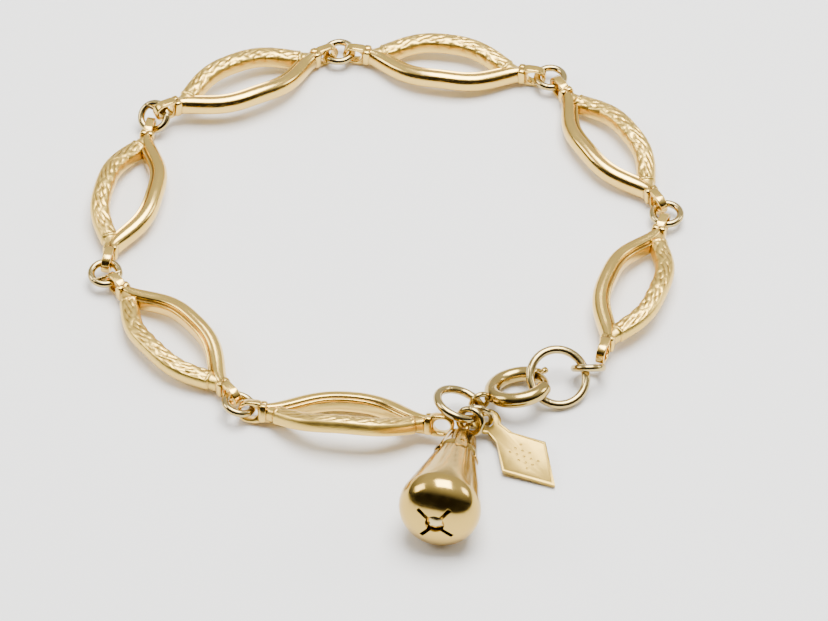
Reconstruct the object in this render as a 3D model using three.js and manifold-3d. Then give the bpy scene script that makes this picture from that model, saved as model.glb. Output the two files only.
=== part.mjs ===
// Gold-tone charm bracelet: seven open leaf-shaped links joined by jump rings, a spring ring clasp,
// a hollow bell charm and a small lozenge tag, lying as a closed loop. Millimetres, +Z up.
import * as THREE from 'three';
import { mergeVertices } from 'three/addons/utils/BufferGeometryUtils.js';
import Module from 'manifold-3d';

const wasm = await Module();
wasm.setup();

// Space kept between pieces that thread or seat in one another
const CLEAR = 0.12;

// Leaf link: two bars that part and meet again, with a collar and an eye plate at both ends
const LINK_LENGTH = 18.3;
const LINK_WIDTH = 7.9;
const LINK_RISE = 0.7;
const BAR_FULLNESS = 1.55;
const POLISHED_BAR = { width: 2.0, height: 1.95, endWidth: 1.4 };
const CHASED_BAR = { width: 2.15, height: 1.75, endWidth: 1.2 };
const BAR_SPANS = 14;
const COLLAR = { length: 0.8, width: 1.5, height: 2.1, chamfer: 0.3 };
const EYE = { height: 2.5, thickness: 1.0, neck: 0.55, hole: 1.85, wall: 0.42 };

// Round wire rings
const JUMP_RING = { outer: 3.95, wire: 0.82 };
const BIG_RING = { outer: 6.05, wire: 0.95 };
const CLOSING_RING = { outer: 7.2, wire: 0.95 };
const BAIL_RING = { outer: 3.54, wire: 0.74 };
const TAG_RING = { outer: 3.82, wire: 0.62 };
const WIRE_SIDES = 6;
const SMALL_RING_STEPS = 14;
const LARGE_RING_STEPS = 22;

// Spring ring clasp: a hollow tube bent to a ring, open over its mouth, with a sprung bolt inside.
// Angles are in degrees round the ring from the direction that points away from the tail loop.
const CLASP = { outer: 7.6, tube: 1.7, bore: 1.06, mouthStart: -18, mouthEnd: 42, channelEnd: 150 };
const CLASP_STEPS = 24;
const TUBE_SIDES = 10;
const BOLT = { wire: 0.8, knob: 0.72, knobReach: 0.75, travel: 40, tail: 34 };
const TAIL_LOOP = { outer: 2.7, wire: 0.62, turn: 70.2 };

// Bell charm, along its own axis from the dome to the cap
const BELL = { radius: 4.45, wall: 0.42, domeDepth: 3.2, domeFullness: 0.85, coneLength: 8.2, neckRadius: 2.45 };
const BELL_CUT = { armReach: 2.45, armWidth: 0.36, armTurn: -20, holeRadius: 1.05 };
const BELL_SIDES = 24;
const CAP = { length: 4.4, topRadius: 1.5, shoulder: 0.5, lift: 0.16, scallop: 0.42, scallops: 6 };
const CAP_LOOP = { outer: 2.56, wire: 0.66, sink: 0.3 };
const PEA_RADIUS = 1.6;
const peaSeat = Math.sqrt(PEA_RADIUS ** 2 - BELL_CUT.holeRadius ** 2);

// Lozenge tag with a round loop
const TAG = { length: 10.2, width: 6.25, thickness: 0.45, rim: 0.3, rimHeight: 0.1, reach: 11.35 };
const TAG_LOOP = { outer: 3.2, hole: 1.7, neck: 2.3 };

// Chosen places, counted round the loop from the fastening: the middle of each link and ring on the
// table. Links turn by yaw, pitch and roll in degrees; axisX, axisY and axisZ point along a ring's axis.
const LINK_PLACES = [
  { x: 24.5, y: 1.8, z: 1.9, yaw: 69.9, pitch: 2.5, roll: 0 },
  { x: 22.26, y: 24.17, z: 1.45, yaw: 120.8, pitch: 0, roll: 0 },
  { x: 3.55, y: 36.95, z: 1.45, yaw: 170.3, pitch: 0, roll: 0 },
  { x: -19.44, y: 33.62, z: 2.0, yaw: 209.3, pitch: -3.8, roll: 0 },
  { x: -32.4, y: 16.35, z: 1.5, yaw: -100.9, pitch: -1, roll: -2 },
  { x: -26.73, y: -5.5, z: 1.5, yaw: -50.8, pitch: 0, roll: 0 },
  { x: -7.45, y: -17.28, z: 1.85, yaw: -7.7, pitch: -2.64, roll: -24 },
];
const JUMP_RING_PLACES = [
  { x: 19.2, y: -10.26, z: 2.04, axisX: -0.02, axisY: 0.762, axisZ: 0.648 },
  { x: 28.62, y: 13.44, z: 1.34, axisX: 0, axisY: -0.01, axisZ: 1 },
  { x: 15.86, y: 34.84, z: 1.44, axisX: 0, axisY: 0, axisZ: 1 },
  { x: -8.75, y: 39.1, z: 1.37, axisX: -0.05, axisY: 0, axisZ: 1 },
  { x: -29.92, y: 27.99, z: 2.08, axisX: -0.29, axisY: -0.5, axisZ: 0.81 },
  { x: -34.6, y: 4.15, z: 1.6, axisX: 0, axisY: -0.06, axisZ: 1 },
  { x: -19.18, y: -15.12, z: 1.61, axisX: 0.265, axisY: 0.165, axisZ: 0.95 },
];
const FASTENING_PLACES = {
  closingRing: { x: 15.83, y: -11.61, z: 2.09, axisX: 0.168, axisY: -0.442, axisZ: 0.881 },
  clasp: { x: 11.48, y: -13.03, z: 2.04, axisX: -0.163, axisY: 0.352, axisZ: 0.921 },
  bigRing: { x: 4.97, y: -16.34, z: 3.06, axisX: 0.328, axisY: 0.228, axisZ: 0.917 },
  bailRing: { x: 6.13, y: -18.53, z: 2.74, axisX: -0.425, axisY: -0.803, axisZ: 0.418 },
  tagRing: { x: 6.83, y: -17.26, z: 1.93, axisX: 0.093, axisY: 0.996, axisZ: -0.005 },
};
const CLASP_TAIL_ANGLE = 206.4;
const BELL_PLACE = { x: 5.5, y: -18.85, z: 1.47, axisX: 2.75, axisY: 13.25, axisZ: -3.0, loopTurn: 100.2 };
const TAG_PLACE = { x: 7.9, y: -17.15, z: 0.88, yaw: -49.5, pitch: 4 };

// Sections of the bars, looking along the bar: outward and up as shares of its width and height.
// The polished bar has a fine bead and groove along its inner top edge.
const POLISHED_SECTION = [
  { out: -0.42, up: -0.5 },
  { out: 0.3, up: -0.5 },
  { out: 0.5, up: -0.28 },
  { out: 0.5, up: 0.12 },
  { out: 0.34, up: 0.4 },
  { out: 0.06, up: 0.5 },
  { out: -0.2, up: 0.42 },
  { out: -0.3, up: 0.26 },
  { out: -0.44, up: 0.28 },
  { out: -0.5, up: 0.08 },
];
const CHASED_SECTION = [
  { out: -0.44, up: -0.5 },
  { out: 0.34, up: -0.5 },
  { out: 0.5, up: -0.28 },
  { out: 0.5, up: 0.1 },
  { out: 0.36, up: 0.38 },
  { out: 0, up: 0.5 },
  { out: -0.36, up: 0.4 },
  { out: -0.5, up: 0.1 },
];

// Colours of the finishes
const GOLD = { color: 0xd9b36a, metalness: 1, roughness: 0.18 };
const PALE_GOLD = { color: 0xcdb27c, metalness: 1, roughness: 0.2 };
const CLASP_GOLD = { color: 0xd2ad6c, metalness: 1, roughness: 0.22 };
const DARK_GOLD = { color: 0xa98a4c, metalness: 1, roughness: 0.3 };

const UP = new THREE.Vector3(0, 0, 1);
const radians = THREE.MathUtils.degToRad;

// Makes a closed body from equal rings of points, with flat ends or joined end to end
function loft(rings, joined = false) {
  const sides = rings[0].length;
  const points = rings.flat();
  const faces = [];
  const spans = joined ? rings.length : rings.length - 1;
  for (let i = 0; i < spans; i++) {
    const a = i * sides;
    const b = ((i + 1) % rings.length) * sides;
    for (let j = 0; j < sides; j++) {
      const k = (j + 1) % sides;
      faces.push(a + j, a + k, b + k, a + j, b + k, b + j);
    }
  }
  if (!joined) {
    for (const [start, flip] of [[0, true], [(rings.length - 1) * sides, false]]) {
      const centre = points.slice(start, start + sides).reduce((sum, p) => sum.add(p), new THREE.Vector3());
      points.push(centre.divideScalar(sides));
      for (let j = 0; j < sides; j++) {
        const edge = [start + j, start + ((j + 1) % sides)];
        if (flip) edge.reverse();
        faces.push(edge[0], edge[1], points.length - 1);
      }
    }
  }
  return outward(points, faces);
}

// Builds the geometry and turns its faces outwards if the points ran the other way
function outward(points, faces) {
  let volume = 0;
  for (let i = 0; i < faces.length; i += 3) {
    const [a, b, c] = [points[faces[i]], points[faces[i + 1]], points[faces[i + 2]]];
    volume += a.dot(new THREE.Vector3().crossVectors(b, c));
  }
  const geometry = new THREE.BufferGeometry().setFromPoints(points);
  geometry.setIndex(volume > 0 ? faces : faces.reverse());
  return geometry;
}

// A manifold solid from a geometry whose shared vertices are merged
function solid(geometry) {
  const bare = geometry.clone();
  bare.deleteAttribute('normal');
  bare.deleteAttribute('uv');
  const merged = mergeVertices(bare, 1e-4);
  return new wasm.Manifold(new wasm.Mesh({
    numProp: 3,
    vertProperties: Float32Array.from(merged.attributes.position.array),
    triVerts: Uint32Array.from(merged.index.array),
  }));
}

// A geometry from a manifold solid
function geometryOf(body) {
  const mesh = body.getMesh();
  const geometry = new THREE.BufferGeometry();
  geometry.setAttribute('position', new THREE.BufferAttribute(mesh.vertProperties, 3));
  geometry.setIndex(new THREE.BufferAttribute(mesh.triVerts, 1));
  geometry.computeVertexNormals();
  return geometry;
}

function joinAll(bodies) {
  return bodies.reduce((sum, body) => sum.add(body));
}

// Points of a circle in the plane of two unit vectors
function circlePoints(centre, first, second, radius, count) {
  return Array.from({ length: count }, (_, i) => {
    const turn = (2 * Math.PI * i) / count;
    return centre.clone()
      .addScaledVector(first, radius * Math.cos(turn))
      .addScaledVector(second, radius * Math.sin(turn));
  });
}

// Round wire bent to an arc about the Z axis, from one angle to the other, or to a whole ring
function wireArc(radius, wire, from, to, steps, sides) {
  const whole = to - from >= 360;
  const count = whole ? steps : steps + 1;
  const rings = Array.from({ length: count }, (_, i) => {
    const turn = radians(from + ((to - from) * i) / steps);
    const outwards = new THREE.Vector3(Math.cos(turn), Math.sin(turn), 0);
    return circlePoints(outwards.clone().multiplyScalar(radius), outwards, UP, wire / 2, sides);
  });
  return loft(rings, whole);
}

function ringGeometry(ring, steps, sides = WIRE_SIDES) {
  return wireArc((ring.outer - ring.wire) / 2, ring.wire, 0, 360, steps, sides);
}

// One bar of a leaf link. Its middle line leaves the axis as (1 + cos(pi t^fullness)) / 2, and the
// whole bar arches up towards mid length.
function barGeometry(bar, section, side) {
  const spread = LINK_WIDTH / 2 - bar.width / 2;
  const line = (t) => (spread * (1 + Math.cos(Math.PI * Math.abs(t) ** BAR_FULLNESS))) / 2;
  const step = 1e-3;
  const rings = Array.from({ length: BAR_SPANS + 1 }, (_, i) => {
    const t = -1 + (2 * i) / BAR_SPANS;
    const slope = (line(t + step) - line(t - step)) / (2 * step) / (LINK_LENGTH / 2);
    const outwards = new THREE.Vector3(-slope, 1, 0).normalize();
    const width = bar.endWidth + (bar.width - bar.endWidth) * Math.cos((Math.PI / 2) * t ** 4);
    const rise = LINK_RISE * Math.cos((Math.PI / 2) * t) ** 2;
    return section.map(({ out, up }) => new THREE.Vector3(
      (t * LINK_LENGTH) / 2 + outwards.x * out * width,
      side * (line(t) + outwards.y * out * width),
      rise + up * bar.height,
    ));
  });
  return loft(rings);
}

// Chamfered block at the end of the bars
function collarGeometry(end) {
  const { length, width, height, chamfer } = COLLAR;
  const corners = [[1, 1], [-1, 1], [-1, -1], [1, -1]];
  const outline = corners.flatMap(([y, z]) => {
    const cuts = [[y * (width / 2), z * (height / 2 - chamfer)], [y * (width / 2 - chamfer), z * (height / 2)]];
    return y * z > 0 ? cuts : cuts.reverse();
  });
  const middle = end * (LINK_LENGTH / 2);
  return loft([-0.5, 0.5].map((share) => outline.map(
    ([y, z]) => new THREE.Vector3(middle + share * length, y, z),
  )));
}

// Eye plate: an upright plate with a rounded tip and a slot for the jump ring
function eyeGeometry(end) {
  const start = LINK_LENGTH / 2;
  const holeRadius = EYE.height / 2 - EYE.wall;
  const holeStart = start + EYE.neck + holeRadius;
  const holeEnd = start + EYE.neck + EYE.hole - holeRadius;
  const tipCentre = start + EYE.neck + EYE.hole + EYE.wall - EYE.height / 2;
  const plate = new THREE.Shape();
  plate.moveTo(start, -EYE.height / 2);
  plate.lineTo(tipCentre, -EYE.height / 2);
  plate.absarc(tipCentre, 0, EYE.height / 2, -Math.PI / 2, Math.PI / 2, false);
  plate.lineTo(start, EYE.height / 2);
  const hole = new THREE.Path();
  hole.absarc(holeEnd, 0, holeRadius, -Math.PI / 2, Math.PI / 2, false);
  hole.absarc(Math.min(holeStart, holeEnd - 0.02), 0, holeRadius, Math.PI / 2, (3 * Math.PI) / 2, false);
  plate.holes.push(hole);
  const geometry = new THREE.ExtrudeGeometry(plate, { depth: EYE.thickness, bevelEnabled: false, curveSegments: 6 });
  geometry.translate(0, 0, -EYE.thickness / 2);
  geometry.rotateX(Math.PI / 2);
  if (end < 0) geometry.rotateZ(Math.PI);
  return geometry;
}

function linkGeometry() {
  const bodies = [
    barGeometry(POLISHED_BAR, POLISHED_SECTION, 1),
    barGeometry(CHASED_BAR, CHASED_SECTION, -1),
    collarGeometry(-1),
    collarGeometry(1),
    eyeGeometry(-1),
    eyeGeometry(1),
  ];
  return geometryOf(joinAll(bodies.map(solid)));
}

// Clasp ring with its bolt channel open from the mouth round to the channel's end, and a tail loop
const claspRadius = (CLASP.outer - CLASP.tube) / 2;

function claspBodyGeometry() {
  const { tube, bore, mouthStart, mouthEnd, channelEnd } = CLASP;
  const body = solid(wireArc(claspRadius, tube, mouthEnd, mouthStart + 360, CLASP_STEPS, TUBE_SIDES));
  const channel = solid(wireArc(claspRadius, bore, mouthEnd - 5, channelEnd, CLASP_STEPS / 2, 8));
  const slotHalf = BOLT.knob / 2 + CLEAR;
  const slotRings = Array.from({ length: 9 }, (_, i) => {
    const turn = radians(mouthEnd - 5 + ((BOLT.travel + 20) * i) / 8);
    const outwards = new THREE.Vector3(Math.cos(turn), Math.sin(turn), 0);
    return [[0, -slotHalf], [tube, -slotHalf], [tube, slotHalf], [0, slotHalf]].map(
      ([across, height]) => outwards.clone().multiplyScalar(claspRadius + across).setZ(height),
    );
  });
  const socket = solid(wireArc(claspRadius, bore, mouthStart - 12, mouthStart + 5, 3, 8));
  const loopRadius = (TAIL_LOOP.outer - TAIL_LOOP.wire) / 2;
  const loop = ringGeometry(TAIL_LOOP, SMALL_RING_STEPS);
  loop.rotateX(radians(TAIL_LOOP.turn));
  loop.translate(claspRadius + tube / 2 + loopRadius - 0.05, 0, 0);
  loop.rotateZ(radians(CLASP_TAIL_ANGLE));
  return geometryOf(body.subtract(channel).subtract(solid(loft(slotRings))).subtract(socket).add(solid(loop)));
}

// Bolt: a wire arc that closes the mouth, with a thumb knob standing in the slot
function claspBoltGeometry() {
  const { mouthStart, mouthEnd } = CLASP;
  const rod = solid(wireArc(claspRadius, BOLT.wire, mouthStart - 6, mouthEnd + BOLT.tail, 12, 8));
  const knobTurn = radians(mouthEnd + 5);
  const outwards = new THREE.Vector3(Math.cos(knobTurn), Math.sin(knobTurn), 0);
  const across = new THREE.Vector3(-outwards.y, outwards.x, 0);
  const knob = loft([0, CLASP.tube / 2 + BOLT.knobReach].map(
    (reach) => circlePoints(outwards.clone().multiplyScalar(claspRadius + reach), across, UP, BOLT.knob / 2, 8),
  ));
  return geometryOf(rod.add(solid(knob)));
}

// Bell profile: radius and distance along the axis from the widest circle, dome below, cone above
function bellProfile(inset) {
  const dome = Array.from({ length: 6 }, (_, i) => {
    const turn = (Math.PI / 2) * (i / 5);
    return {
      r: (BELL.radius - inset) * Math.sin(turn) ** BELL.domeFullness,
      z: -(BELL.domeDepth - inset) * Math.cos(turn) ** BELL.domeFullness,
    };
  });
  const cone = [0.1, 0.4, 0.7, 1].map((share) => ({
    r: BELL.neckRadius + (BELL.radius - BELL.neckRadius) * (1 - share ** 1.1) ** 1.05 - inset,
    z: BELL.coneLength * share - (share === 1 ? inset : 0),
  }));
  return [...dome, ...cone];
}

// Solid of revolution about Z from a profile that starts and ends on the axis
function turned(profile, sides = BELL_SIDES) {
  const points = [...profile.map(({ r, z }) => new THREE.Vector2(Math.max(r, 0), z))];
  const last = points[points.length - 1];
  if (last.x > 0) points.push(new THREE.Vector2(0, last.y));
  const geometry = new THREE.LatheGeometry(points, sides);
  geometry.rotateX(Math.PI / 2);
  return geometry;
}

// Hollow bell with a cross of slots and a round hole in its dome, a scalloped cap and a cap loop.
// Its frame has the middle of the cap loop at the origin and the dome towards -Z.
const loopToWidest = CAP_LOOP.outer / 2 - CAP_LOOP.sink + BELL.coneLength + CAP.length;

function bellGeometry() {
  const shell = solid(turned(bellProfile(0))).subtract(solid(turned(bellProfile(BELL.wall))));
  const cutDepth = BELL.domeDepth + 1;
  const arms = [45, -45].map((angle) => {
    const arm = new THREE.BoxGeometry(BELL_CUT.armReach * 2, BELL_CUT.armWidth, cutDepth);
    arm.translate(0, 0, -cutDepth / 2 - 1);
    arm.rotateZ(radians(angle + BELL_CUT.armTurn));
    return solid(arm);
  });
  const hole = new THREE.CylinderGeometry(BELL_CUT.holeRadius, BELL_CUT.holeRadius, cutDepth, 12);
  hole.rotateX(Math.PI / 2);
  hole.translate(0, 0, -cutDepth / 2 - 1);
  const cut = [...arms, solid(hole)].reduce((body, tool) => body.subtract(tool), shell);
  const capRings = Array.from({ length: 5 }, (_, row) => {
    const share = [0, 0.08, 0.7, 0.88, 1][row];
    return Array.from({ length: BELL_SIDES }, (_, i) => {
      const turn = (2 * Math.PI * i) / BELL_SIDES;
      const wave = CAP.scallop * Math.cos(CAP.scallops * turn) * (1 - share);
      const lower = BELL.neckRadius + (row === 0 ? 0.02 : CAP.lift);
      const radius = lower + (CAP.topRadius - lower) * share - (row === 4 ? CAP.shoulder : 0);
      return new THREE.Vector3(
        radius * Math.cos(turn),
        radius * Math.sin(turn),
        BELL.coneLength + CAP.length * share - wave - (row === 0 ? 0.1 : 0),
      );
    });
  });
  const loop = ringGeometry(CAP_LOOP, SMALL_RING_STEPS);
  loop.rotateX(Math.PI / 2);
  loop.rotateZ(radians(BELL_PLACE.loopTurn));
  const body = cut.add(solid(loft(capRings))).translate(0, 0, -loopToWidest).add(solid(loop));
  return geometryOf(body);
}

// Tag: outline of a lozenge whose near corner runs into a neck and a round loop at the origin
function tagOutline(inset) {
  const shape = new THREE.Shape();
  const tip = TAG.reach - inset * 2;
  const middle = TAG.reach - TAG.length / 2;
  const half = TAG.width / 2 - inset;
  const neckHalf = TAG_LOOP.neck / 2 - inset;
  const neckAt = middle - (TAG.length / 2) * (1 - neckHalf / half);
  const loopRadius = TAG_LOOP.outer / 2 - inset;
  const joinTurn = Math.asin(Math.min((neckHalf * 0.8) / loopRadius, 1));
  shape.moveTo(tip, 0);
  shape.lineTo(middle, half);
  shape.lineTo(neckAt, neckHalf);
  shape.absarc(0, 0, loopRadius, joinTurn, 2 * Math.PI - joinTurn, false);
  shape.lineTo(neckAt, -neckHalf);
  shape.lineTo(middle, -half);
  shape.lineTo(tip, 0);
  return shape;
}

function tagGeometry() {
  const plate = new THREE.ExtrudeGeometry(tagOutline(0), { depth: TAG.thickness, bevelEnabled: false, curveSegments: 16 });
  const field = new THREE.ExtrudeGeometry(tagOutline(TAG.rim), { depth: TAG.rimHeight * 2, bevelEnabled: false, curveSegments: 16 });
  field.translate(0, 0, TAG.thickness - TAG.rimHeight);
  const hole = new THREE.CylinderGeometry(TAG_LOOP.hole / 2, TAG_LOOP.hole / 2, TAG.thickness * 3, 14);
  hole.rotateX(Math.PI / 2);
  return geometryOf(solid(plate).subtract(solid(field)).subtract(solid(hole)));
}

// Pieces
const bracelet = new THREE.Group();

function addPiece(name, geometry, finish) {
  const mesh = new THREE.Mesh(geometry, new THREE.MeshStandardMaterial(finish));
  mesh.name = name;
  bracelet.add(mesh);
  return mesh;
}

function setAlong(mesh, place) {
  const axis = new THREE.Vector3(place.axisX, place.axisY, place.axisZ).normalize();
  mesh.quaternion.setFromUnitVectors(UP, axis);
  mesh.position.set(place.x, place.y, place.z);
}

LINK_PLACES.forEach((place, i) => {
  const link = addPiece(`leaf_link_${i + 1}`, linkGeometry(), GOLD);
  link.position.set(place.x, place.y, place.z);
  link.rotation.set(radians(place.roll), radians(place.pitch), radians(place.yaw), 'ZYX');
});

JUMP_RING_PLACES.forEach((place, i) => {
  setAlong(addPiece(`jump_ring_${i + 1}`, ringGeometry(JUMP_RING, SMALL_RING_STEPS), PALE_GOLD), place);
});

const closingRing = addPiece('closing_ring', ringGeometry(CLOSING_RING, LARGE_RING_STEPS), PALE_GOLD);
setAlong(closingRing, FASTENING_PLACES.closingRing);
const bigRing = addPiece('big_ring', ringGeometry(BIG_RING, LARGE_RING_STEPS), PALE_GOLD);
setAlong(bigRing, FASTENING_PLACES.bigRing);
const bailRing = addPiece('bail_ring', ringGeometry(BAIL_RING, SMALL_RING_STEPS), PALE_GOLD);
setAlong(bailRing, FASTENING_PLACES.bailRing);
const tagRing = addPiece('tag_ring', ringGeometry(TAG_RING, SMALL_RING_STEPS), PALE_GOLD);
setAlong(tagRing, FASTENING_PLACES.tagRing);

setAlong(addPiece('clasp_body', claspBodyGeometry(), CLASP_GOLD), FASTENING_PLACES.clasp);
setAlong(addPiece('clasp_bolt', claspBoltGeometry(), CLASP_GOLD), FASTENING_PLACES.clasp);

const bell = addPiece('bell_charm', bellGeometry(), GOLD);
setAlong(bell, BELL_PLACE);
const pea = addPiece('bell_pea', new THREE.IcosahedronGeometry(PEA_RADIUS, 2), DARK_GOLD);
setAlong(pea, BELL_PLACE);
pea.translateZ(-loopToWidest - BELL.domeDepth + BELL.wall + peaSeat + 1.6 * CLEAR);

const tag = addPiece('tag', tagGeometry(), GOLD);
tag.position.set(TAG_PLACE.x, TAG_PLACE.y, TAG_PLACE.z);
tag.rotation.set(0, radians(TAG_PLACE.pitch), radians(TAG_PLACE.yaw), 'ZYX');

// The origin is under the middle of the whole loop, on the table
const box = new THREE.Box3();
bracelet.updateMatrixWorld(true);
bracelet.traverse((mesh) => {
  if (mesh.isMesh) box.union(new THREE.Box3().setFromObject(mesh, true));
});
bracelet.position.set(-(box.min.x + box.max.x) / 2, -(box.min.y + box.max.y) / 2, -box.min.z);

export default bracelet;
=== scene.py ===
# %% [markdown]
# # Charm bracelet
# Seven open leaf-shaped links on jump rings, a spring ring clasp, a hollow bell and a lozenge tag lie as
# a closed loop on a pale surface. The real links come from one mould, the rings are bent from drawn wire,
# and clasp and bell are built from thin tube and sheet. Each shape is worked out here by formula, in
# millimetres, and written into its mesh in metres, so that every size can be read and changed.

import math

import bmesh
import bpy
import numpy as np
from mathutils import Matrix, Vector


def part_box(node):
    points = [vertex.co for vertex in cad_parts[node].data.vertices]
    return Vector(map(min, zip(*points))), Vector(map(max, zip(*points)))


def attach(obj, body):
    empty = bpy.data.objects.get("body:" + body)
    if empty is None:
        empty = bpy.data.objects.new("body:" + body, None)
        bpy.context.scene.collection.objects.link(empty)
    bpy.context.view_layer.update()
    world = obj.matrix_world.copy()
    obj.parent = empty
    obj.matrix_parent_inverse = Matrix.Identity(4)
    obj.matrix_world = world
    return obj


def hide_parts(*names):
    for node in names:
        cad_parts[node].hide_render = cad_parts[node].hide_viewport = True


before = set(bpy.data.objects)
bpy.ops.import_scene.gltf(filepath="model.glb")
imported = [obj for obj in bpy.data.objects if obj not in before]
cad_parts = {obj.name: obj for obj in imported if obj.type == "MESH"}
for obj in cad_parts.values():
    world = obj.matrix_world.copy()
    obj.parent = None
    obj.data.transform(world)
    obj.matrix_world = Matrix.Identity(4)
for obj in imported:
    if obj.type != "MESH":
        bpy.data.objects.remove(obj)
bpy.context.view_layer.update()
MM = 0.001

# %% [markdown]
# ## Places
# A loose chain has no axis or pattern that places its pieces. A simulation could drop it on the surface,
# but it would fall in folds of its own, so each link and ring was fitted one by one to the photographed one.
# Its place is its middle, in millimetres on the table, counted round the loop from the fastening. Links
# turn by yaw, pitch and roll in degrees. Rings look the same from all round, so an axis is enough.

# %% Chosen places
LINK_PLACES = [
    ((24.5, 1.8, 1.9), (69.9, 2.5, 0)),
    ((22.26, 24.17, 1.45), (120.8, 0, 0)),
    ((3.55, 36.95, 1.45), (170.3, 0, 0)),
    ((-19.44, 33.62, 2.0), (209.3, -3.8, 0)),
    ((-32.4, 16.35, 1.5), (-100.9, -1, -2)),
    ((-26.73, -5.5, 1.5), (-50.8, 0, 0)),
    ((-7.45, -17.28, 1.85), (-7.7, -2.64, -24)),
]
JUMP_RING_PLACES = [
    ((19.2, -10.26, 2.04), (-0.02, 0.762, 0.648)),
    ((28.62, 13.44, 1.34), (0, -0.01, 1)),
    ((15.86, 34.84, 1.44), (0, 0, 1)),
    ((-8.75, 39.1, 1.37), (-0.05, 0, 1)),
    ((-29.92, 27.99, 2.08), (-0.29, -0.5, 0.81)),
    ((-34.6, 4.15, 1.6), (0, -0.06, 1)),
    ((-19.18, -15.12, 1.61), (0.265, 0.165, 0.95)),
]
CLOSING_RING_PLACE = ((15.83, -11.61, 2.09), (0.168, -0.442, 0.881))
CLASP_PLACE = ((11.48, -13.03, 2.04), (-0.163, 0.352, 0.921))
BIG_RING_PLACE = ((4.97, -16.34, 3.06), (0.328, 0.228, 0.917))
BAIL_RING_PLACE = ((6.13, -18.53, 2.74), (-0.425, -0.803, 0.418))
TAG_RING_PLACE = ((6.83, -17.26, 1.93), (0.093, 0.996, -0.005))
BELL_PLACE = ((5.5, -18.85, 1.47), (2.75, 13.25, -3.0))
TAG_PLACE = ((7.9, -17.15, 0.88), (-49.5, 4, 0))

ring_low, ring_high = (np.array(corner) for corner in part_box("big_ring"))
TABLE_ORIGIN = (ring_low + ring_high) / 2 - np.array(BIG_RING_PLACE[0]) * MM
print("table origin in the frame, mm", np.round(TABLE_ORIGIN / MM, 3))

# %% [markdown]
# ## Camera
# The photograph has hardly any perspective, as from a long lens at some distance. A short lens near by
# would swell the links in front. The camera looks down at 48.5 degrees onto the middle of the loop.

# %% Camera
ELEVATION = math.radians(48.5)
DISTANCE = 0.55866
FOCAL_LENGTH = 217.39
SENSOR_WIDTH = 36
NEAREST = 0.01

camera_data = bpy.data.cameras.new("long lens")
camera_data.lens = FOCAL_LENGTH
camera_data.sensor_width = SENSOR_WIDTH
camera_data.clip_start = NEAREST
camera = bpy.data.objects.new("camera", camera_data)
bpy.context.scene.collection.objects.link(camera)
camera.location = TABLE_ORIGIN + DISTANCE * np.array([0, -math.cos(ELEVATION), math.sin(ELEVATION)])
camera.rotation_euler = (math.pi / 2 - ELEVATION, 0, 0)
bpy.context.scene.camera = camera
print("camera at", [round(value, 4) for value in camera.location])

# %% [markdown]
# ## Turning and placing
# Each piece is modelled lying flat round its own middle, which keeps its formulas short, and is turned and
# moved afterwards. The object's own rotation and location could do that, but here the turn goes into the
# mesh. The object then stays at the origin, and the wear that its material lays on in Object coordinates
# stays put on the metal.

# %% Turns


def turn_about(axis, angle):
    """Rotation by angle about a unit axis: R = I + sin(a) K + (1 - cos(a)) K K."""
    x, y, z = axis
    cross = np.array([[0, -z, y], [z, 0, -x], [-y, x, 0]])
    return np.eye(3) + math.sin(angle) * cross + (1 - math.cos(angle)) * cross @ cross


def turn_link(yaw, pitch, roll):
    """R = Rz(yaw) Ry(pitch) Rx(roll), in degrees."""
    yaw, pitch, roll = (math.radians(value) for value in (yaw, pitch, roll))
    return turn_about((0, 0, 1), yaw) @ turn_about((0, 1, 0), pitch) @ turn_about((1, 0, 0), roll)


def turn_onto(axis):
    """The smallest turn that takes +Z onto the axis: about Z x axis, by the angle between them."""
    axis = np.array(axis, float)
    axis /= np.linalg.norm(axis)
    side = np.cross((0, 0, 1), axis)
    size = np.linalg.norm(side)
    if size < 1e-9:
        return np.eye(3)
    return turn_about(side / size, math.atan2(size, axis[2]))


def placed(points, place, turn):
    """World metres from local millimetres: p' = origin + (R p + place) / 1000."""
    return TABLE_ORIGIN + (points @ turn.T + np.array(place)) * MM


print("link 2 lies along", np.round(turn_link(*LINK_PLACES[1][1])[:, 0], 3))

# %% [markdown]
# ## Lofts
# Wire, bars, shells and plates are all made as a skin over a row of rings of points: quads join each ring
# to the next, and the ends are closed by a face or joined to a loop. A curve with a bevel object could
# carry a section along a path too, but numpy lets the section change on its way and computes the whole
# grid of points at once.

# %% Lofts and bodies


def loft(rings, joined=False):
    """Points and faces of a body from an array (rings, points per ring, 3).

    A quad joins points k and k + 1 of a ring to the same two points of the next ring.
    """
    rings = np.asarray(rings, float)
    count, sides = rings.shape[:2]
    spans = count if joined else count - 1
    row = np.arange(spans)[:, None] * sides
    above = (np.arange(spans)[:, None] + 1) % count * sides
    column = np.arange(sides)[None, :]
    beside = (column + 1) % sides
    quads = np.stack([row + column, row + beside, above + beside, above + column], -1)
    faces = quads.reshape(-1, 4).tolist()
    if not joined:
        faces.append(list(range(sides))[::-1])
        faces.append(list(range((count - 1) * sides, count * sides)))
    return rings.reshape(-1, 3), faces


def signed_volume(points, faces):
    """V = sum of a . (b x c) / 6 over a fan of each face."""
    total = 0.0
    for face in faces:
        a = points[face[0]]
        for b, c in zip(face[1:-1], face[2:]):
            total += float(np.dot(a, np.cross(points[b], points[c])))
    return total / 6


def raw_object(name, body, materials, material_index=0):
    """A mesh object in local millimetres, its faces turned outwards."""
    points, faces = body
    if signed_volume(points, faces) < 0:
        faces = [face[::-1] for face in faces]
    mesh = bpy.data.meshes.new(name)
    mesh.from_pydata(points.tolist(), [], faces)
    for material in materials:
        mesh.materials.append(material)
    mesh.polygons.foreach_set("material_index", [material_index] * len(mesh.polygons))
    mesh.update()
    obj = bpy.data.objects.new(name, mesh)
    bpy.context.scene.collection.objects.link(obj)
    return obj


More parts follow.
